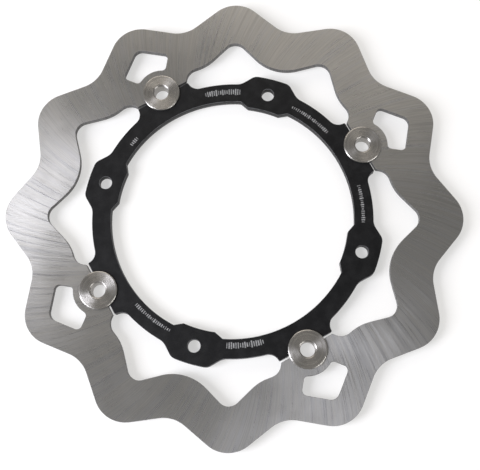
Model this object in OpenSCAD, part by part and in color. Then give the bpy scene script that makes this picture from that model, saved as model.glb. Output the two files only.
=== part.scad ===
// Floating wave brake disc for a motorcycle wheel.
// A wavy steel band hangs on an aluminium carrier by four hollow bobbins, each kept
// in its half-round seats by a wave spring, a flat washer and a circlip.
// The axle runs along +Z, out of the face that shows the bobbin heads. The bobbins
// stand on the X and Y axes, the wheel bolts halfway between them, and z = 0 is the
// face that lies on the wheel hub.

/* [Brake band] */
// Diameter over the tips of the outer lobes
band_d = 270; // [262:1:330]
// Thickness of the band
band_t = 4; // [3:0.1:4.8]
// Depth of the outer wave, from lobe tip to valley
outer_wave_h = 13.8; // [8:0.1:16]
// Radius of an outer lobe
outer_lobe_r = 18.4; // [12:0.1:22]
// Radius of an outer valley
outer_valley_r = 19; // [12:0.5:23]
// Radial width of the band, from lobe tip to notch
track_w = 25.4; // [21:0.1:29]
// Depth of the inner wave, from notch to crest
inner_wave_h = 13.5; // [9:0.1:14.5]
// Radius of an inner notch
notch_r = 7.3; // [4:0.1:9]
// Radius of an inner crest
crest_r = 26.7; // [18:0.1:28]

/* [Band tabs] */
// Width of the tab that reaches in to a bobbin
band_tab_w = 34.4; // [26:0.1:38]
// Radius of the pocket on each side of a tab
pocket_r = 8; // [5:0.1:9]

/* [Windows] */
// Metal between a window and the outer flank beside it
window_wall = 14.3; // [12:0.1:17]
// Length of a window's sloping side, from peak to corner
window_side = 20.1; // [16:0.1:22]
// Radius of a window's peak
window_peak_r = 5.2; // [2:0.1:7]
// Radius of a window's side corners
window_corner_r = 3; // [1:0.1:4]
// Radius of a window's feet
window_foot_r = 2.5; // [1:0.1:3]
// Metal between a bobbin's seat and the window
seat_wall = 6.9; // [5:0.1:8]
// Most that a window reaches in, from its peak to the centre of its foot's curve
window_reach = 33; // [32.5:0.1:36]

/* [Carrier] */
// Thickness of the carrier
carrier_t = 5; // [4.8:0.1:7]
// Diameter of the bore between the pilot pads
bore_d = 143.6; // [138:0.1:150]
// Radial width of the carrier's ring
ring_w = 11.2; // [8:0.1:12]
// Radius of the fillet between the ring and a lug
lug_fillet_r = 9; // [5:0.5:11]
// Radius of a lug's shoulders
lug_shoulder_r = 6; // [3:0.5:8]
// Angle from a lug's middle to its shoulder
lug_shoulder_a = 5.5; // [4.5:0.1:6.5]
// Length of the straight flank between a lug's shoulder and its fillet
lug_flank = 5.2; // [1:0.1:7]
// Width of a carrier tab at a bobbin
carrier_tab_w = 34.6; // [30:0.1:38]
// Radius of the fillet between the ring and a tab
tab_fillet_r = 6.5; // [4:0.1:8]
// Radius of the corners of the tabs, on band and carrier
tab_corner_r = 0.8; // [0.3:0.1:2]

/* [Wheel fixing] */
// Diameter of the circle through the wheel bolts
bolt_circle_d = 157.3; // [152:0.1:160]
// Diameter of a wheel bolt's hole
bolt_hole_d = 7.5; // [6:0.1:9]
// Metal outside a wheel bolt's hole
lug_wall = 6.65; // [5:0.05:8]
// Diameter across the pads that centre the disc on the hub
pilot_d = 136.9; // [132:0.1:138]
// Width of a pilot pad's face
pad_w = 18.8; // [12:0.1:24]
// Slope of a pilot pad's ends
pad_slope_a = 25; // [20:1:60]

/* [Bobbins] */
// Diameter of the circle through the bobbins
bobbin_circle_d = 178; // [174:0.1:180]
// Diameter of a bobbin's head
head_d = 22.4; // [19:0.1:26]
// Thickness of a bobbin's head
head_t = 1.4; // [1:0.1:2.5]
// Chamfer on the rim of a head
head_chamfer = 0.45; // [0.1:0.05:0.8]
// Diameter of a bobbin's barrel
barrel_d = 16; // [13:0.1:18]
// Diameter of the hole through a bobbin
bobbin_hole_d = 8.6; // [5:0.1:11]
// Chamfer at the mouth of that hole
mouth_chamfer = 0.8; // [0.2:0.1:1.4]
// Distance from a bobbin's centre in to the split between the tabs
split_in = 1.4; // [0.8:0.1:3]
// Gap between the tabs at the split
split_gap = 1.2; // [0.4:0.1:2]
// Length of the barrel behind the circlip
barrel_lip = 0.8; // [0.5:0.1:1.5]

/* [Springs, washers and circlips] */
// Height of a wave spring, fitted
spring_h = 0.8; // [0.6:0.05:1.2]
// Thickness of a wave spring's strip
spring_t = 0.3; // [0.15:0.05:0.4]
// Radial width of a wave spring
spring_w = 1.9; // [1:0.1:3]
// Thickness of a flat washer
washer_t = 0.8; // [0.5:0.1:1.5]
// Radial width of a flat washer
washer_w = 2.6; // [1.9:0.1:3.4]
// Thickness of a circlip
clip_t = 1; // [0.8:0.1:1.2]
// Radial width of a circlip at its middle
clip_w = 2.2; // [1.6:0.1:2.6]
// Opening between a circlip's ears
clip_opening = 3; // [2:0.1:4]
// Depth of the groove that holds a circlip
groove_depth = 0.4; // [0.2:0.05:0.8]

/* [Clearances] */
// Radial clearance of a barrel in its half-round seats
seat_clearance = 0.05; // [0.03:0.01:0.1]
// Radial clearance of a spring or washer round a barrel
ring_clearance = 0.1; // [0.05:0.05:0.3]
// End clearance of a wave spring between its neighbours
spring_clearance = 0.02; // [0.01:0.01:0.05]
// Clearance of a circlip in its groove, all round
groove_clearance = 0.05; // [0.02:0.01:0.1]
// Radial clearance of a flat washer and a wave spring in their spot face
spot_clearance = 1.3; // [0.3:0.1:1.5]

/* [Hidden] */
BOBBINS = 4;
LOBES = 12;
LOBE_PITCH = 360 / LOBES;
BOBBIN_PITCH = 360 / BOBBINS;
$fn = 96;
CHORD_GAP = 0.012;
OVERCUT = 1;
POCKET_GAP = 0.05;
POCKET_TUCK = 0.95;
SPRING_WAVES = 3;
STATIONS_PER_WAVE = 24;
CLIP_TAPER = 1 / 8;
EAR_SIZE = 0.8;
EAR_OVERHANG = 0.75;
EAR_HOLE = 0.4;

// Radii from the axle
lobe_tip = band_d / 2;
valley_in = lobe_tip - outer_wave_h;
notch_out = lobe_tip - track_w;
crest_in = notch_out - inner_wave_h;
bobbin_out = bobbin_circle_d / 2;
split_out = bobbin_out - split_in;
band_tab_out = split_out + split_gap / 2;
carrier_tab_out = split_out - split_gap / 2;
ring_out = bore_d / 2 + ring_w;
bolt_out = bolt_circle_d / 2;
lug_out = bolt_out + bolt_hole_d / 2 + lug_wall;

// Heights, from the hub face up
band_back = carrier_t - band_t;
washer_top = band_back - spring_h;
washer_back = washer_top - washer_t;
groove_top = washer_back;
groove_back = groove_top - clip_t - 2 * groove_clearance;
barrel_back = groove_back - barrel_lip;
head_top = carrier_t + head_t;

// Radii from a bobbin's centre
barrel_r = barrel_d / 2;
seat_r = barrel_r + seat_clearance;
ring_in = barrel_r + ring_clearance;
spot_r = ring_in + max(washer_w, spring_w) + spot_clearance;

// Angles at which the carrier's fillets stand, from the middle of their tab or lug
tab_fillet_a = asin((carrier_tab_w / 2 + tab_fillet_r) / (ring_out + tab_fillet_r));
lug_shoulder_out = lug_out - lug_shoulder_r;
lug_fillet_out = ring_out + lug_fillet_r;
lug_fillet_a = lug_shoulder_a + corner_a(
    lug_shoulder_out, lug_fillet_out, norm([lug_shoulder_r + lug_fillet_r, lug_flank])
);

// A pocket lies against the corner of its tab, and reaches out to the inner crests
band_corner = spot(0, band_tab_out + tab_corner_r, band_tab_w / 2 - tab_corner_r);
pocket_out = crest_in - pocket_r;
pocket_a = max(
    atan2(band_corner[1], band_corner[0])
        + corner_a(norm(band_corner), pocket_out, pocket_r + tab_corner_r + POCKET_GAP),
    asin((band_corner[1] + POCKET_TUCK * pocket_r) / pocket_out)
);

// The flanks of the outer wave are straight lines that touch a lobe and a valley
lobe_centre = lobe_tip - outer_lobe_r;
valley_centre = valley_in + outer_valley_r;
flank_a = line_a([lobe_centre, 0, outer_lobe_r],
                 concat(polar(valley_centre, LOBE_PITCH / 2), [-outer_valley_r])) - 90;

function polar(r, a) = [r * cos(a), r * sin(a)];
// A point at a distance out along angle a, and then to the left of that line
function spot(a, out, left) = polar(out, a) + polar(left, a + 90);
// The angle between two sides r and s of a triangle whose third side is t
function corner_a(r, s, t) = acos(min(1, (r * r + s * s - t * t) / (2 * r * s)));
function mirrored(p) = [p[0], -p[1], p[2]];
function turned(p, a) = [p[0] * cos(a) - p[1] * sin(a), p[0] * sin(a) + p[1] * cos(a), p[2]];
function reversed(v) = [for (i = [len(v) - 1:-1:0]) v[i]];

// An outline is a belt that runs anticlockwise round pulleys [x, y, r]. A pulley with
// a positive r lies on the belt's left, and one with a negative r on its right.
function line_a(p, q) =
    let (d = [q[0] - p[0], q[1] - p[1]])
    atan2(d[1], d[0]) + asin(max(-1, min(1, (p[2] - q[2]) / norm(d))));
function belt_arc(p, a_in, a_out) =
    let (turn = p[2] > 0 ? ((a_out - a_in) % 360 + 360) % 360 : -(((a_in - a_out) % 360 + 360) % 360),
         step = 2 * acos(1 - CHORD_GAP / max(abs(p[2]), 0.1)),
         n = max(1, ceil(abs(turn) / step)))
    [for (i = [0:n]) [p[0], p[1]] + polar(p[2], a_in - 90 + turn * i / n)];
function belt(pulleys) =
    let (n = len(pulleys),
         lines = [for (i = [0:n - 1]) line_a(pulleys[i], pulleys[(i + 1) % n])],
         points = [for (i = [0:n - 1]) each belt_arc(pulleys[i], lines[(i + n - 1) % n], lines[i])],
         last = len(points) - 1)
    [for (i = [0:last]) if (norm(points[i] - points[i == 0 ? last : i - 1]) > CHORD_GAP) points[i]];
// The whole way round from the pulleys of one sector
function all_round(sector, count) =
    [for (i = [0:count - 1], p = sector) turned(p, i * 360 / count)];

// The first point from p along angle a that lies at distance d from point c
function reach(p, a, c, d) =
    let (u = polar(1, a), w = c - p)
    p + u * (w * u - sqrt(d * d - w * w + pow(w * u, 2)));

function outer_wave() = belt(all_round(
    [[lobe_centre, 0, outer_lobe_r], concat(polar(valley_centre, LOBE_PITCH / 2), [-outer_valley_r])],
    LOBES
));

// The inner edge from a bobbin halfway to the next: tab, pocket, crest, notch, crest
function inner_half() = [
    concat(band_corner, [-tab_corner_r]),
    concat(polar(pocket_out, pocket_a), [pocket_r]),
    concat(polar(crest_in + crest_r, LOBE_PITCH / 2), [-crest_r]),
    concat(polar(notch_out - notch_r, LOBE_PITCH), [notch_r])
];
function inner_wave() =
    let (half = inner_half(),
         middle = [concat(polar(crest_in + crest_r, BOBBIN_PITCH / 2), [-crest_r])],
         back = [for (p = reversed(half)) turned(mirrored(p), BOBBIN_PITCH)])
    belt(all_round(concat(half, middle, back), BOBBINS));

// A window's sloping sides run along the outer flanks, its short sides square to them,
// and its foot follows the bobbin's seat, or curves likewise further out on a wide band
function window() =
    let (peak = lobe_centre + (outer_lobe_r - window_wall) / cos(flank_a),
         foot_centre = max(bobbin_out, peak - window_reach),
         side_a = 180 - flank_a,
         corner = [peak, 0] + polar(window_side, 90 + flank_a),
         corner_mid = corner + polar(window_corner_r, flank_a - 90) + polar(window_corner_r, flank_a + 180),
         foot_mid = reach(corner + polar(window_foot_r, flank_a - 90), flank_a + 180,
                          [foot_centre, 0], seat_r + seat_wall + window_foot_r),
         left = [concat(corner_mid, [window_corner_r]), concat(foot_mid, [window_foot_r])])
    belt(concat(
        [[peak - window_peak_r / cos(flank_a), 0, window_peak_r]],
        left,
        [[foot_centre, 0, -seat_r - seat_wall]],
        [for (p = reversed(left)) mirrored(p)]
    ));

// The carrier's edge from a bobbin halfway to the next: tab, ring, lug
function carrier_half() = [
    concat(spot(0, carrier_tab_out - tab_corner_r, carrier_tab_w / 2 - tab_corner_r), [tab_corner_r]),
    concat(polar(ring_out + tab_fillet_r, tab_fillet_a), [-tab_fillet_r]),
    [0, 0, ring_out],
    concat(polar(lug_fillet_out, BOBBIN_PITCH / 2 - lug_fillet_a), [-lug_fillet_r]),
    concat(polar(lug_shoulder_out, BOBBIN_PITCH / 2 - lug_shoulder_a), [lug_shoulder_r])
];
function carrier_edge() =
    let (half = carrier_half(), back = [for (p = reversed(half)) turned(mirrored(p), BOBBIN_PITCH)])
    belt(all_round(concat(half, [[0, 0, lug_out]], back), BOBBINS));

module at_bobbin(i) {
    rotate((i - 1) * BOBBIN_PITCH) translate([bobbin_out, 0, 0]) children();
}

module at_all_bobbins() {
    for (i = [1:BOBBINS]) at_bobbin(i) children();
}

module at_all_lugs() {
    for (i = [1:BOBBINS]) rotate((i - 0.5) * BOBBIN_PITCH) children();
}

// A round cut that runs out of both faces of a plate
module through(r, back, front) {
    translate([0, 0, back - OVERCUT]) cylinder(r = r, h = front - back + 2 * OVERCUT);
}

module brake_band() {
    color("#9a9895")
    difference() {
        translate([0, 0, band_back]) linear_extrude(height = band_t) difference() {
            polygon(outer_wave());
            polygon(inner_wave());
            for (i = [1:BOBBINS]) rotate(i * BOBBIN_PITCH) polygon(window());
        }
        at_all_bobbins() through(seat_r, band_back, carrier_t);
    }
}

module pilot_pad() {
    pilot_r = pilot_d / 2;
    face_edge = sqrt(pow(pilot_r, 2) - pow(pad_w / 2, 2));
    reach_out = bore_d / 2 + ring_w / 2;
    foot = pad_w / 2 + (reach_out - face_edge) / tan(pad_slope_a);
    translate([0, 0, -OVERCUT]) linear_extrude(height = carrier_t + 2 * OVERCUT)
    polygon([
        [face_edge - OVERCUT, -pad_w / 2],
        [face_edge - OVERCUT, pad_w / 2],
        [face_edge, pad_w / 2],
        [reach_out, foot],
        [reach_out, -foot],
        [face_edge, -pad_w / 2]
    ]);
}

module carrier() {
    color("#1d1d1f")
    difference() {
        linear_extrude(height = carrier_t) polygon(carrier_edge());
        difference() {
            through(bore_d / 2, 0, carrier_t);
            at_all_lugs() pilot_pad();
        }
        through(pilot_d / 2, 0, carrier_t);
        at_all_bobbins() through(seat_r, 0, carrier_t);
        at_all_bobbins() through(spot_r, -OVERCUT, band_back - OVERCUT);
        at_all_lugs() translate([bolt_out, 0, 0]) through(bolt_hole_d / 2, 0, carrier_t);
    }
}

module bobbin(i) {
    hole_r = bobbin_hole_d / 2;
    mouth_r = hole_r + mouth_chamfer;
    head_r = head_d / 2;
    groove_r = barrel_r - groove_depth;
    end_chamfer = barrel_lip / 2;
    color("#a3a19c")
    at_bobbin(i) rotate_extrude() polygon([
        [hole_r, barrel_back + end_chamfer],
        [hole_r + end_chamfer, barrel_back],
        [barrel_r - end_chamfer, barrel_back],
        [barrel_r, barrel_back + end_chamfer],
        [barrel_r, groove_back],
        [groove_r, groove_back],
        [groove_r, groove_top],
        [barrel_r, groove_top],
        [barrel_r, carrier_t],
        [head_r, carrier_t],
        [head_r, head_top - head_chamfer],
        [head_r - head_chamfer, head_top],
        [mouth_r, head_top],
        [hole_r, head_top - mouth_chamfer]
    ]);
}

// A washer bent into three waves, which touch the plates above and the washer below
module wave_spring(i) {
    stations = STATIONS_PER_WAVE * SPRING_WAVES;
    middle = washer_top + spring_h / 2;
    swing = spring_h / 2 - spring_t / 2 - spring_clearance;
    rim = ring_in + spring_w;
    section = [[ring_in, -spring_t / 2], [rim, -spring_t / 2], [rim, spring_t / 2], [ring_in, spring_t / 2]];
    points = [for (s = [0:stations - 1], c = section)
        let (a = s * 360 / stations)
        concat(polar(c[0], a), [middle + c[1] + swing * sin(SPRING_WAVES * a)])];
    faces = [for (s = [0:stations - 1], c = [0:3])
        let (here = 4 * s, next = 4 * ((s + 1) % stations), d = (c + 1) % 4)
        each [[here + c, here + d, next + d], [here + c, next + d, next + c]]];
    color("#7f7d78")
    at_bobbin(i) polyhedron(points = points, faces = faces);
}

module flat_washer(i) {
    color("#b3b1ac")
    at_bobbin(i) translate([0, 0, washer_back]) difference() {
        cylinder(r = ring_in + washer_w, h = washer_t);
        through(ring_in, 0, washer_t);
    }
}

// A ring with two ears for the pliers, a little wider at its middle than at its ends
module circlip(i) {
    inner = barrel_r - groove_depth + groove_clearance;
    offset_in = clip_w * CLIP_TAPER;
    ear_r = clip_w * EAR_SIZE;
    ear_out = inner + ear_r;
    ear_a = asin((clip_opening / 2 + ear_r * EAR_OVERHANG) / ear_out);
    color("#2a2927")
    at_bobbin(i) translate([0, 0, groove_back + groove_clearance]) difference() {
        union() {
            translate([-offset_in, 0, 0]) cylinder(r = inner + clip_w - offset_in, h = clip_t);
            for (a = [-ear_a, ear_a]) translate(polar(ear_out, a)) cylinder(r = ear_r, h = clip_t);
        }
        through(inner, 0, clip_t);
        translate([0, -clip_opening / 2, -OVERCUT])
            cube([inner + 2 * clip_w + ear_r, clip_opening, clip_t + 2 * OVERCUT]);
        for (a = [-ear_a, ear_a]) translate(polar(ear_out, a)) through(ear_r * EAR_HOLE, 0, clip_t);
    }
}

brake_band();
carrier();
for (i = [1:BOBBINS]) {
    bobbin(i);
    wave_spring(i);
    flat_washer(i);
    circlip(i);
}
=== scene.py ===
# A floating wave brake disc, lying face up on a pale floor.
# Lengths are in metres. The wheel's axle is the Z axis, and the bobbins stand on the X and Y axes.

import math

import bmesh
import bpy
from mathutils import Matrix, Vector


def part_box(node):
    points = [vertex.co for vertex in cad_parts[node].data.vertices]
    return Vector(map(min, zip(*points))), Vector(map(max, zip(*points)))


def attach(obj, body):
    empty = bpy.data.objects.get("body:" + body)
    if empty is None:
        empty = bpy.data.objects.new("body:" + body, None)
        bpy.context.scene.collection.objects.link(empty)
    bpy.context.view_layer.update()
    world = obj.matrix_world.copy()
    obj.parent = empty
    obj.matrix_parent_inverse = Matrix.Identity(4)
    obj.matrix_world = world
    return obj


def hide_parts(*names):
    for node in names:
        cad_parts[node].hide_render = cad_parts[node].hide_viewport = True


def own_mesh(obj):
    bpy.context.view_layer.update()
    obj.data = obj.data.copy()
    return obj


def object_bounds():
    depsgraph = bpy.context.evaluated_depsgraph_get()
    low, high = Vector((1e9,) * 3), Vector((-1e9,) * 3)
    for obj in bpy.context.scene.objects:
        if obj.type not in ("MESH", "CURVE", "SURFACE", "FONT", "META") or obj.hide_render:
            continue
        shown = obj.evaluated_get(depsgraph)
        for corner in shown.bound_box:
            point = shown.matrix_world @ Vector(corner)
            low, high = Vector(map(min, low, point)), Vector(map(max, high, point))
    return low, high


MM = 0.001

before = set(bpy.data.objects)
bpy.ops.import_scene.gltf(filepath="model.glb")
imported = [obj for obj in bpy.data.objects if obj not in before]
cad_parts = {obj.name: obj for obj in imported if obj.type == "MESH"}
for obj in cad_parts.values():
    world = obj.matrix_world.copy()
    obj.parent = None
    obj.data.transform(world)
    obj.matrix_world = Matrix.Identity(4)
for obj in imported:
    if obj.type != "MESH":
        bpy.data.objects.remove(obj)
cad_low, cad_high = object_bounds()

# ---------------------------------------------------------------- sizes read from the frame

BOBBINS = 4
bobbin_low, bobbin_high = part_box("bobbin_1")

BOBBIN_OUT = (bobbin_low.x + bobbin_high.x) / 2
BAND_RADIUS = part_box("brake_band")[1].x
CARRIER_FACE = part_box("carrier")[1].z

# ---------------------------------------------------------------- finishes

STEEL = (0.465, 0.45, 0.43, 1)
STEEL_DARK = (0.34, 0.335, 0.327, 1)
STEEL_COOL = (0.42, 0.416, 0.42, 1)
# Painted shade: a dark colour for the band's cut walls and broken edges, which are the same stainless steel
# as its faces
PAINTED_WALL_SHADE = (0.11, 0.108, 0.105, 1)
BLACK_ANODISED = (0.0035, 0.0035, 0.004, 1)
BLACK_GREYED = (0.011, 0.011, 0.0115, 1)
BARE_EDGE = (0.22, 0.22, 0.225, 1)
TURNED = (0.47, 0.45, 0.425, 1)
TURNED_DARK = (0.32, 0.305, 0.29, 1)
SPRING = (0.42, 0.41, 0.40, 1)
SPRING_DARK = (0.28, 0.27, 0.27, 1)
ZINC = (0.66, 0.66, 0.66, 1)
ZINC_DARK = (0.48, 0.49, 0.50, 1)
PHOSPHATE = (0.035, 0.034, 0.033, 1)
PHOSPHATE_WORN = (0.12, 0.115, 0.11, 1)
ETCHED = (0.30, 0.30, 0.30, 1)
ETCHED_DARK = (0.14, 0.14, 0.142, 1)

# ---------------------------------------------------------------- nodes


def feed(tree, socket, value):
    """Gives an input a plain value, or another node's output."""
    if isinstance(value, bpy.types.NodeSocket):
        tree.links.new(value, socket)
    else:
        socket.default_value = value


def put(tree, kind, inputs=None, **settings):
    """Adds a node, sets its properties and then feeds its inputs."""
    made = tree.nodes.new(kind)
    for name, value in settings.items():
        setattr(made, name, value)
    for name, value in (inputs or {}).items():
        feed(tree, made.inputs[name], value)
    return made


def calc(tree, operation, *values):
    return put(tree, "ShaderNodeMath", dict(enumerate(values)), operation=operation).outputs[0]


def scaled(tree, vector, factors):
    return put(tree, "ShaderNodeVectorMath", {0: vector, 1: factors}, operation="MULTIPLY").outputs[0]


def fade(tree, value, low, high, to_low=0.0, to_high=1.0):
    """A value between low and high, spread smoothly over to_low to to_high."""
    inputs = {"Value": value, "From Min": low, "From Max": high, "To Min": to_low, "To Max": to_high}
    return put(tree, "ShaderNodeMapRange", inputs, interpolation_type="SMOOTHSTEP").outputs[0]


# Where a Mix node keeps its colours, among its sockets for other kinds of value
COLOUR_A, COLOUR_B, COLOUR_OUT = 6, 7, 2


def mixed(tree, share, first, second):
    made = put(tree, "ShaderNodeMix", {"Factor": share}, data_type="RGBA")
    feed(tree, made.inputs[COLOUR_A], first)
    feed(tree, made.inputs[COLOUR_B], second)
    return made.outputs[COLOUR_OUT]


def noise(tree, vector, scale, detail=2.0, roughness=0.5):
    inputs = {"Vector": vector, "Scale": scale, "Detail": detail, "Roughness": roughness}
    return put(tree, "ShaderNodeTexNoise", inputs).outputs[0]


def new_group(name, inputs, outputs):
    """A shader node group with named inputs, each a kind and a default, and its group input and output."""
    tree = bpy.data.node_groups.new(name, "ShaderNodeTree")
    for label, (kind, default) in inputs.items():
        socket = tree.interface.new_socket(label, in_out="INPUT", socket_type=kind)
        if default is not None:
            socket.default_value = default
    for label in outputs:
        tree.interface.new_socket(label, in_out="OUTPUT", socket_type="NodeSocketFloat")
    return tree, tree.nodes.new("NodeGroupInput").outputs, tree.nodes.new("NodeGroupOutput").inputs


FLOAT = "NodeSocketFloat"
VECTOR = "NodeSocketVector"


def stroke_noise(tree, vector, radius, lean, width, length):
    """Noise drawn out into strokes that run outwards from the axle and lean over as they go."""
    xyz = put(tree, "ShaderNodeSeparateXYZ", {0: vector}).outputs
    out_r = calc(tree, "SQRT", calc(tree, "ADD", calc(tree, "MULTIPLY", xyz[0], xyz[0]),
                                    calc(tree, "MULTIPLY", xyz[1], xyz[1])))
    angle = calc(tree, "ARCTAN2", xyz[1], xyz[0])
    leaning = calc(tree, "ADD", angle, calc(tree, "MULTIPLY", out_r, lean))
    across = calc(tree, "DIVIDE", radius, width)
    place = put(tree, "ShaderNodeCombineXYZ", {
        0: calc(tree, "MULTIPLY", calc(tree, "COSINE", leaning), across),
        1: calc(tree, "MULTIPLY", calc(tree, "SINE", leaning), across),
        2: calc(tree, "DIVIDE", out_r, length),
    }).outputs[0]
    return noise(tree, place, 1.0, 4.0, 0.6)


def make_ground_strokes():
    """Grinding strokes, for what a stroke does to colour, roughness and height."""
    tree, given, out = new_group(
        "ground strokes",
        {"Vector": (VECTOR, None), "Radius": (FLOAT, 0.12), "Lean": (FLOAT, 8.0), "Width": (FLOAT, 0.0004),
         "Length": (FLOAT, 0.03)},
        ["Mask"],
    )
    mask = stroke_noise(
        tree, given["Vector"], given["Radius"], given["Lean"], given["Width"], given["Length"])
    tree.links.new(mask, out["Mask"])
    return tree


def make_turned_rings():
    """Tool marks in rings round an upright axis through Centre."""
    tree, given, out = new_group(
        "turned rings",
        {"Vector": (VECTOR, None), "Centre": (VECTOR, None), "Pitch": (FLOAT, 0.0003)},
        ["Mask"],
    )
    arm = put(tree, "ShaderNodeVectorMath", {0: given["Vector"], 1: given["Centre"]}, operation="SUBTRACT")
    flat = scaled(tree, arm.outputs[0], (1.0, 1.0, 0.0))
    out_r = put(tree, "ShaderNodeVectorMath", {0: flat}, operation="LENGTH").outputs["Value"]
    height = put(tree, "ShaderNodeSeparateXYZ", {0: given["Vector"]}).outputs[2]
    turns = calc(tree, "DIVIDE", calc(tree, "ADD", out_r, height), given["Pitch"])
    rings = put(tree, "ShaderNodeTexNoise", {"W": turns, "Scale": 1.0, "Detail": 2.0}, noise_dimensions="1D")
    tree.links.new(rings.outputs[0], out["Mask"])
    return tree


def make_fine_grain():
    """An even grain, such as blasting or plating leaves."""
    tree, given, out = new_group("fine grain", {"Vector": (VECTOR, None), "Size": (FLOAT, 0.0004)}, ["Mask"])
    per_metre = calc(tree, "DIVIDE", 1.0, given["Size"])
    tree.links.new(noise(tree, given["Vector"], per_metre, 3.0, 0.6), out["Mask"])
    return tree


def levelness(tree):
    """One on a level face, and none on an upright wall."""
    normal = put(tree, "ShaderNodeNewGeometry").outputs["Normal"]
    return calc(tree, "ABSOLUTE", put(tree, "ShaderNodeSeparateXYZ", {0: normal}).outputs[2])


def make_edge_wear():
    """Bright where an edge is broken: on faces that are neither flat nor upright."""
    tree, given, out = new_group("edge wear", {"Vector": (VECTOR, None), "Patch": (FLOAT, 0.004)}, ["Mask"])
    level = levelness(tree)
    broken = calc(tree, "MULTIPLY", fade(tree, level, 0.15, 0.4), fade(tree, level, 0.99, 0.93))
    per_metre = calc(tree, "DIVIDE", 1.0, given["Patch"])
    patchy = fade(tree, noise(tree, given["Vector"], per_metre, 3.0, 0.6), 0.3, 0.6, 0.35, 1.0)
    tree.links.new(calc(tree, "MULTIPLY", broken, patchy), out["Mask"])
    return tree


def make_cut_wall():
    """Fine upright lines on a wall cut through plate and on its broken edges, and nothing on its faces. The
    ground stainless also uses it to paint shade on those walls and edges.
    """
    tree, given, out = new_group("cut wall", {"Vector": (VECTOR, None), "Pitch": (FLOAT, 0.0005)}, ["Mask"])
    level = levelness(tree)
    flattened = scaled(tree, given["Vector"], (1.0, 1.0, 0.08))
    per_metre = calc(tree, "DIVIDE", 1.0, given["Pitch"])
    lines = fade(tree, noise(tree, flattened, per_metre, 2.0, 0.5), 0.3, 0.7, 0.7, 1.0)
    tree.links.new(calc(tree, "MULTIPLY", lines, fade(tree, level, 0.99, 0.92)), out["Mask"])
    return tree


ground_strokes = make_ground_strokes()
turned_rings = make_turned_rings()
fine_grain = make_fine_grain()
edge_wear = make_edge_wear()
cut_wall = make_cut_wall()


def use(tree, group, **inputs):
    """Places a shared group in a material with its own values, and gives its mask."""
    return put(tree, "ShaderNodeGroup", inputs, node_tree=group).outputs["Mask"]


def new_material(name):
    """A material with its shader, and the place of a point on its piece."""
    material = bpy.data.materials.new(name)
    material.use_nodes = True
    tree = material.node_tree
    shader = tree.nodes["Principled BSDF"]
    place = put(tree, "ShaderNodeTexCoord").outputs["Object"]
    return material, tree, shader, place


def plug_in(tree, shader, **inputs):
    for name, value in inputs.items():
        feed(tree, shader.inputs[name.replace("_", " ")], value)


def bumped(tree, height, strength, distance):
    inputs = {"Height": height, "Strength": strength, "Distance": distance}
    return put(tree, "ShaderNodeBump", inputs).outputs[0]


def direction_from(tree, place, centre, turn):
    """The level direction from centre to a point, turned by turn radians: the way a highlight spreads."""
    arm = put(tree, "ShaderNodeVectorMath", {0: place, 1: centre}, operation="SUBTRACT").outputs[0]
    flat = scaled(tree, arm, (1.0, 1.0, 0.0))
    turn = put(tree, "ShaderNodeVectorRotate", {"Vector": flat, "Angle": turn}, rotation_type="Z_AXIS")
    return put(tree, "ShaderNodeVectorTransform", {0: turn.outputs[0]}, vector_type="VECTOR",
               convert_from="OBJECT", convert_to="WORLD").outputs[0]


# The strokes cross the middle of the track at this angle to the radius, and stray from it with their depth
STROKE_TURN = math.radians(-20.6)
STROKE_STRAY = 0.72
TRACK_MID = BAND_RADIUS - 18 * MM
STROKE_LEAN = -math.tan(STROKE_TURN) / TRACK_MID
STROKE_RADIUS = 0.12
FINE_STROKE = (0.45 * MM, 32 * MM)
BROAD_STROKE = (1.8 * MM, 70 * MM)


def laid_over(tree, fine, broad):
    return calc(tree, "ADD", calc(tree, "MULTIPLY", fine, 0.6), calc(tree, "MULTIPLY", broad, 0.4))


def stroke_direction(tree, place):
    """The way a highlight spreads on the ground faces, strayed by strokes made of plain nodes.

    A tangent takes nothing from a shared group, so these repeat the nodes in the ground strokes group.
    """
    strokes = laid_over(tree, *(
        stroke_noise(tree, place, STROKE_RADIUS, STROKE_LEAN, width, length)
        for width, length in (FINE_STROKE, BROAD_STROKE)
    ))
    strayed = calc(tree, "MULTIPLY", calc(tree, "SUBTRACT", strokes, 0.5), STROKE_STRAY)
    return direction_from(tree, place, (0, 0, 0), calc(tree, "ADD", strayed, STROKE_TURN + math.pi / 2))


def make_ground_stainless():
    material, tree, shader, place = new_material("ground stainless")
    fine, broad = (
        use(tree, ground_strokes, Vector=place, Radius=STROKE_RADIUS, Lean=STROKE_LEAN,
            Width=width, Length=length)
        for width, length in (FINE_STROKE, BROAD_STROKE)
    )
    cloudy = noise(tree, place, 1 / (30 * MM), 3.0, 0.5)
    wall = use(tree, cut_wall, Vector=place, Pitch=0.5 * MM)
    strokes = laid_over(tree, fine, broad)
    tinted = mixed(tree, fade(tree, broad, 0.4, 0.65), STEEL, STEEL_COOL)
    face = mixed(tree, fade(tree, strokes, 0.38, 0.58), STEEL_DARK, tinted)
    rough = calc(tree, "ADD", fade(tree, strokes, 0.3, 0.7, 0.41, 0.24),
                 fade(tree, cloudy, 0.3, 0.7, 0.03, -0.03))
    rough = calc(tree, "ADD", rough, calc(tree, "MULTIPLY", wall, 0.35))
    height = calc(tree, "ADD", strokes, wall)
    # The walls and broken edges get a dark base colour and less metal than the faces: painted shade, since
    # they are the same stainless steel
    plug_in(tree, shader, Base_Color=mixed(tree, wall, face, PAINTED_WALL_SHADE), Roughness=rough,
            Metallic=calc(tree, "SUBTRACT", 1.0, calc(tree, "MULTIPLY", wall, 0.7)),
            Anisotropic=0.77, Tangent=stroke_direction(tree, place),
            Normal=bumped(tree, height, 0.35, 0.03 * MM))
    return material


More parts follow.
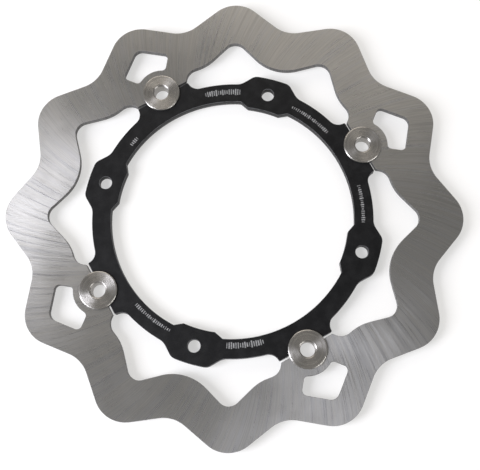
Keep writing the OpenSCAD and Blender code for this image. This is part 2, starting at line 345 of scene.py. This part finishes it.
def make_black_anodised():
    material, tree, shader, place = new_material("black anodised")
    grain = use(tree, fine_grain, Vector=place, Size=0.5 * MM)
    blotches = use(tree, fine_grain, Vector=place, Size=6 * MM)
    worn = use(tree, edge_wear, Vector=place, Patch=5 * MM)
    greyed = fade(tree, calc(tree, "MULTIPLY", grain, blotches), 0.15, 0.4)
    coat = mixed(tree, greyed, BLACK_ANODISED, BLACK_GREYED)
    colour = mixed(tree, calc(tree, "MULTIPLY", worn, 0.6), coat, BARE_EDGE)
    plug_in(tree, shader, Base_Color=colour, Metallic=0.0, Roughness=fade(tree, grain, 0.3, 0.7, 0.36, 0.5),
            Specular_IOR_Level=0.2, Normal=bumped(tree, grain, 0.2, 0.04 * MM))
    return material


def bobbin_centre(tree, place):
    """The centre of the bobbin nearest to a point."""
    xyz = put(tree, "ShaderNodeSeparateXYZ", {0: place}).outputs
    on_x = calc(tree, "GREATER_THAN", calc(tree, "ABSOLUTE", xyz[0]), calc(tree, "ABSOLUTE", xyz[1]))
    on_y = calc(tree, "SUBTRACT", 1.0, on_x)
    x = calc(tree, "MULTIPLY", calc(tree, "MULTIPLY", calc(tree, "SIGN", xyz[0]), on_x), BOBBIN_OUT)
    y = calc(tree, "MULTIPLY", calc(tree, "MULTIPLY", calc(tree, "SIGN", xyz[1]), on_y), BOBBIN_OUT)
    return put(tree, "ShaderNodeCombineXYZ", {0: x, 1: y}).outputs[0]


def make_turned_steel():
    material, tree, shader, place = new_material("turned steel")
    centre = bobbin_centre(tree, place)
    fine = use(tree, turned_rings, Vector=place, Centre=centre, Pitch=0.4 * MM)
    broad = use(tree, turned_rings, Vector=place, Centre=centre, Pitch=1.1 * MM)
    rings = calc(tree, "ADD", calc(tree, "MULTIPLY", fine, 0.7), calc(tree, "MULTIPLY", broad, 0.3))
    cloudy = noise(tree, place, 1 / (6 * MM), 3.0, 0.5)
    rough = calc(tree, "ADD", fade(tree, rings, 0.3, 0.7, 0.34, 0.22),
                 fade(tree, cloudy, 0.3, 0.7, 0.04, -0.04))
    broken = use(tree, edge_wear, Vector=place, Patch=2 * MM)
    rough = calc(tree, "ADD", rough, calc(tree, "MULTIPLY", broken, 0.15))
    colour = mixed(tree, fade(tree, rings, 0.35, 0.6), TURNED_DARK, TURNED)
    plug_in(tree, shader, Base_Color=colour, Metallic=1.0, Roughness=rough, Anisotropic=0.8,
            Tangent=direction_from(tree, place, centre, 0.0), Normal=bumped(tree, rings, 0.25, 0.03 * MM))
    return material


def make_plain_metal(name, colour, dark, roughness, grain_size, metallic=1.0, wear=0.0, worn_colour=STEEL):
    material, tree, shader, place = new_material(name)
    grain = use(tree, fine_grain, Vector=place, Size=grain_size)
    base = mixed(tree, fade(tree, grain, 0.3, 0.7), dark, colour)
    worn = calc(tree, "MULTIPLY", use(tree, edge_wear, Vector=place, Patch=2 * MM), wear)
    plug_in(tree, shader, Base_Color=mixed(tree, worn, base, worn_colour), Metallic=metallic,
            Roughness=fade(tree, grain, 0.3, 0.7, roughness + 0.06, roughness - 0.06),
            Normal=bumped(tree, grain, 0.2, 0.02 * MM))
    return material


ground_stainless = make_ground_stainless()
black_anodised = make_black_anodised()
turned_steel = make_turned_steel()
spring_steel = make_plain_metal("spring steel", SPRING, SPRING_DARK, 0.32, 0.5 * MM)
washer_steel = make_plain_metal("zinc plated steel", ZINC, ZINC_DARK, 0.36, 0.4 * MM)
phosphated_steel = make_plain_metal("phosphated steel", PHOSPHATE, PHOSPHATE_WORN, 0.5, 0.3 * MM,
                                    metallic=0.6, wear=0.5)
etched = make_plain_metal("etched mark", ETCHED, ETCHED_DARK, 0.6, 0.8 * MM, metallic=0.0)

# ---------------------------------------------------------------- pieces

SHARP_ANGLE = math.radians(30)
LEVEL = 0.9999
MERGE_DISTANCE = 0.001 * MM
SAME_PLANE = math.radians(0.5)
EDGE_ANGLE = math.radians(35)
EDGE_STEPS = 2

BAND_EDGE = 0.15 * MM
CARRIER_EDGE = 0.2 * MM
SMALL_EDGE = 0.12 * MM
SPRING_EDGE = 0.06 * MM


def shade(mesh):
    """Smooth walls and broken edges, and level faces that stay flat up to their borders."""
    bm = bmesh.new()
    bm.from_mesh(mesh)
    for face in bm.faces:
        face.smooth = True
    for edge in bm.edges:
        level = [abs(face.normal.z) > LEVEL for face in edge.link_faces]
        border = any(level) and not all(level)
        edge.smooth = not border and edge.calc_face_angle(0.0) < SHARP_ANGLE
    bm.to_mesh(mesh)
    bm.free()


def finished_copy(node, name, body, material, edge):
    """A CAD node's own shape with its sharp edges broken, standing for the node."""
    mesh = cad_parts[node].data.copy()
    mesh.name = name
    mesh.materials.clear()
    mesh.materials.append(material)
    bm = bmesh.new()
    bm.from_mesh(mesh)
    bmesh.ops.remove_doubles(bm, verts=bm.verts, dist=MERGE_DISTANCE)
    bmesh.ops.dissolve_limit(bm, angle_limit=SAME_PLANE, verts=bm.verts, edges=bm.edges)
    bm.to_mesh(mesh)
    bm.free()
    piece = bpy.data.objects.new(name, mesh)
    bpy.context.scene.collection.objects.link(piece)
    bevel = piece.modifiers.new("broken edge", "BEVEL")
    bevel.width = edge
    bevel.segments = EDGE_STEPS
    bevel.limit_method = "ANGLE"
    bevel.angle_limit = EDGE_ANGLE
    graph = bpy.context.evaluated_depsgraph_get()
    piece.data = bpy.data.meshes.new_from_object(piece.evaluated_get(graph))
    piece.modifiers.clear()
    shade(piece.data)
    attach(piece, body)
    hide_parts(node)
    return piece


band = finished_copy("brake_band", "wave_band", "band", ground_stainless, BAND_EDGE)
ring = finished_copy("carrier", "carrier_ring", "carrier", black_anodised, CARRIER_EDGE)

for i in range(1, BOBBINS + 1):
    body = f"bobbin_set_{i}"
    for node, name, material, slot in (
        (f"bobbin_{i}", f"turned_bobbin_{i}", turned_steel, "turned_steel"),
        (f"flat_washer_{i}", f"washer_{i}", washer_steel, "washer_steel"),
        (f"circlip_{i}", f"retaining_clip_{i}", phosphated_steel, "phosphated_steel"),
    ):
        finished_copy(node, name, body, material, SMALL_EDGE)
    spring = finished_copy(f"wave_spring_{i}", f"waved_spring_{i}", "carrier", spring_steel, SPRING_EDGE)
    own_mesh(spring)

# ---------------------------------------------------------------- etched marks

TICK_PITCH = 1.3 * MM
TICK_DEPTH = 0.02 * MM

# Shares of a tick's full height, width and depth
SMALLEST_TICK = (0.5, 0.2, 1.0)
LARGEST_TICK = (1.0, 0.7, 1.0)

# For each run of marks: radius and height in millimetres, and the angles where it starts and ends
MARK_RUNS = (
    (78.0, 4.0, 57.5, 73.2),
    (75.5, 4.0, -121.1, -104.5),
    (76.8, 2.3, 13.1, 32.8),
    (77.0, 2.3, -31.9, -14.5),
    (75.6, 2.3, 110.3, 114.9),
    (75.6, 2.3, -166.0, -146.7),
)


def make_tick_run():
    """A tree that adds a run of plain ticks along an arc round the axle, of uneven height and width."""
    tree = bpy.data.node_groups.new("tick run", "GeometryNodeTree")
    tree.interface.new_socket("Geometry", in_out="INPUT", socket_type="NodeSocketGeometry")
    for name in ("Radius", "Height", "Start", "Sweep", "Face", "Pitch", "Depth"):
        tree.interface.new_socket(name, in_out="INPUT", socket_type="NodeSocketFloat")
    tree.interface.new_socket("Material", in_out="INPUT", socket_type="NodeSocketMaterial")
    tree.interface.new_socket("Geometry", in_out="OUTPUT", socket_type="NodeSocketGeometry")
    given = tree.nodes.new("NodeGroupInput").outputs
    out = tree.nodes.new("NodeGroupOutput").inputs

    count = calc(tree, "DIVIDE", calc(tree, "MULTIPLY", given["Sweep"], given["Radius"]), given["Pitch"])
    line = put(tree, "GeometryNodeMeshLine", {"Count": calc(tree, "CEIL", count)})
    index = tree.nodes.new("GeometryNodeInputIndex").outputs[0]
    step = calc(tree, "DIVIDE", given["Pitch"], given["Radius"])
    angle = calc(tree, "ADD", given["Start"], calc(tree, "MULTIPLY", index, step))
    place = put(tree, "ShaderNodeCombineXYZ", {
        0: calc(tree, "MULTIPLY", calc(tree, "COSINE", angle), given["Radius"]),
        1: calc(tree, "MULTIPLY", calc(tree, "SINE", angle), given["Radius"]),
        2: given["Face"],
    }).outputs[0]
    points = put(tree, "GeometryNodeSetPosition", {"Geometry": line.outputs[0], "Position": place})
    size = put(tree, "ShaderNodeCombineXYZ", {0: given["Height"], 1: given["Pitch"], 2: given["Depth"]})
    tick = put(tree, "GeometryNodeMeshCube", {"Size": size.outputs[0]})
    uneven = put(tree, "FunctionNodeRandomValue", {"Min": SMALLEST_TICK, "Max": LARGEST_TICK},
                 data_type="FLOAT_VECTOR")
    facing = put(tree, "ShaderNodeCombineXYZ", {2: angle})
    ticks = put(tree, "GeometryNodeInstanceOnPoints", {
        "Points": points.outputs[0], "Instance": tick.outputs[0], "Rotation": facing.outputs[0],
        "Scale": uneven.outputs[0],
    })
    solid = put(tree, "GeometryNodeRealizeInstances", {0: ticks.outputs[0]})
    joined = tree.nodes.new("GeometryNodeJoinGeometry")
    tree.links.new(given["Geometry"], joined.inputs[0])
    tree.links.new(solid.outputs[0], joined.inputs[0])
    finish = put(tree, "GeometryNodeSetMaterial",
                 {"Geometry": joined.outputs[0], "Material": given["Material"]})
    tree.links.new(finish.outputs[0], out["Geometry"])
    return tree


def make_etched_marks():
    tree = make_tick_run()
    sockets = {item.name: item.identifier for item in tree.interface.items_tree if item.in_out == "INPUT"}
    marks = bpy.data.objects.new("etched_marks", bpy.data.meshes.new("etched_marks"))
    bpy.context.scene.collection.objects.link(marks)
    for radius, height, start, end in MARK_RUNS:
        run = marks.modifiers.new("tick run", "NODES")
        run.node_group = tree
        values = {
            "Radius": radius * MM, "Height": height * MM, "Start": math.radians(start),
            "Sweep": math.radians(end - start), "Face": CARRIER_FACE, "Pitch": TICK_PITCH,
            "Depth": TICK_DEPTH, "Material": etched,
        }
        for name, value in values.items():
            run[sockets[name]] = value
    graph = bpy.context.evaluated_depsgraph_get()
    marks.data = bpy.data.meshes.new_from_object(marks.evaluated_get(graph))
    marks.modifiers.clear()
    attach(marks, "carrier")


make_etched_marks()

# ---------------------------------------------------------------- floor, lights and camera

FLOOR_SIZE = 6.0
FLOOR_DROP = 0.1 * MM
FLOOR_COLOUR = (0.43, 0.42, 0.405, 1)

# The floor glows a little for the camera, more so further out, and keeps the disc's shadow
NEAR, FAR = 0.25, 1.2
NEAR_GLOW, FAR_GLOW = 0.53, 0.95


def seen_share(tree):
    """One for rays that show a thing to the camera, in metal or through glass, and none for the rest."""
    rays = put(tree, "ShaderNodeLightPath").outputs
    mirrored = calc(tree, "MAXIMUM", rays["Is Glossy Ray"], rays["Is Transmission Ray"])
    return calc(tree, "MAXIMUM", rays["Is Camera Ray"], mirrored)


def make_floor():
    mesh = bpy.data.meshes.new("floor")
    h = FLOOR_SIZE / 2
    z = cad_low.z - FLOOR_DROP
    mesh.from_pydata([(-h, -h, z), (h, -h, z), (h, h, z), (-h, h, z)], [], [(0, 1, 2, 3)])
    material, tree, shader, place = new_material("pale floor")
    out_r = put(tree, "ShaderNodeVectorMath", {0: place}, operation="LENGTH").outputs["Value"]
    glow = fade(tree, out_r, NEAR, FAR, NEAR_GLOW, FAR_GLOW)
    plug_in(tree, shader, Base_Color=FLOOR_COLOUR, Roughness=0.9, Specular_IOR_Level=0.0,
            Emission_Color=(1, 1, 1, 1), Emission_Strength=calc(tree, "MULTIPLY", seen_share(tree), glow))
    mesh.materials.append(material)
    floor = bpy.data.objects.new("floor", mesh)
    bpy.context.scene.collection.objects.link(floor)


LIGHT_DISTANCE = 1.2
ROOM_LIGHT = (1, 0.985, 0.95, 1)
ROOM_STRENGTH = 0.32
COOL_LIGHT = (0.895, 0.915, 1.0)
WARM_LIGHT = (1.0, 0.93, 0.84)


def make_softbox(name, direction, size, power, colour=(1, 1, 1)):
    """A square-cornered lamp that faces the middle of the disc."""
    place = LIGHT_DISTANCE * Vector(direction)
    light = bpy.data.lights.new(name, "AREA")
    light.shape = "RECTANGLE"
    light.size, light.size_y = size
    light.energy = power
    light.color = colour
    lamp = bpy.data.objects.new(name, light)
    lamp.location = place
    lamp.rotation_euler = (-place).to_track_quat("-Z", "Y").to_euler()
    bpy.context.scene.collection.objects.link(lamp)


def make_world(strength):
    """An even pale light all round, with white behind the floor's far edge."""
    world = bpy.data.worlds.new("studio")
    bpy.context.scene.world = world
    world.use_nodes = True
    tree = world.node_tree
    shown = put(tree, "ShaderNodeLightPath").outputs["Is Camera Ray"]
    background = tree.nodes["Background"]
    tree.links.new(mixed(tree, shown, ROOM_LIGHT, (1, 1, 1, 1)), background.inputs["Color"])
    tree.links.new(calc(tree, "MAXIMUM", shown, strength), background.inputs["Strength"])


def make_camera():
    data = bpy.data.cameras.new("camera")
    data.sensor_width = 36
    data.lens = 63.78
    camera = bpy.data.objects.new("camera", data)
    camera.location = (-0.03479, -0.11296, 0.49184)
    camera.rotation_euler = [math.radians(a) for a in (12.118, 2.313, -29.053)]
    bpy.context.scene.collection.objects.link(camera)
    bpy.context.scene.camera = camera


make_floor()
make_world(ROOM_STRENGTH)
make_softbox("key light", (-0.753, 0.12, 0.647), (0.5, 0.9), 21.0, COOL_LIGHT)
make_softbox("back light", (0.246, 0.821, 0.515), (1.12, 1.0), 6.2, WARM_LIGHT)
make_softbox("low side light", (0.33, -0.91, 0.25), (0.9, 0.3), 5.0)
make_camera()

bpy.context.scene.view_settings.view_transform = "Standard"
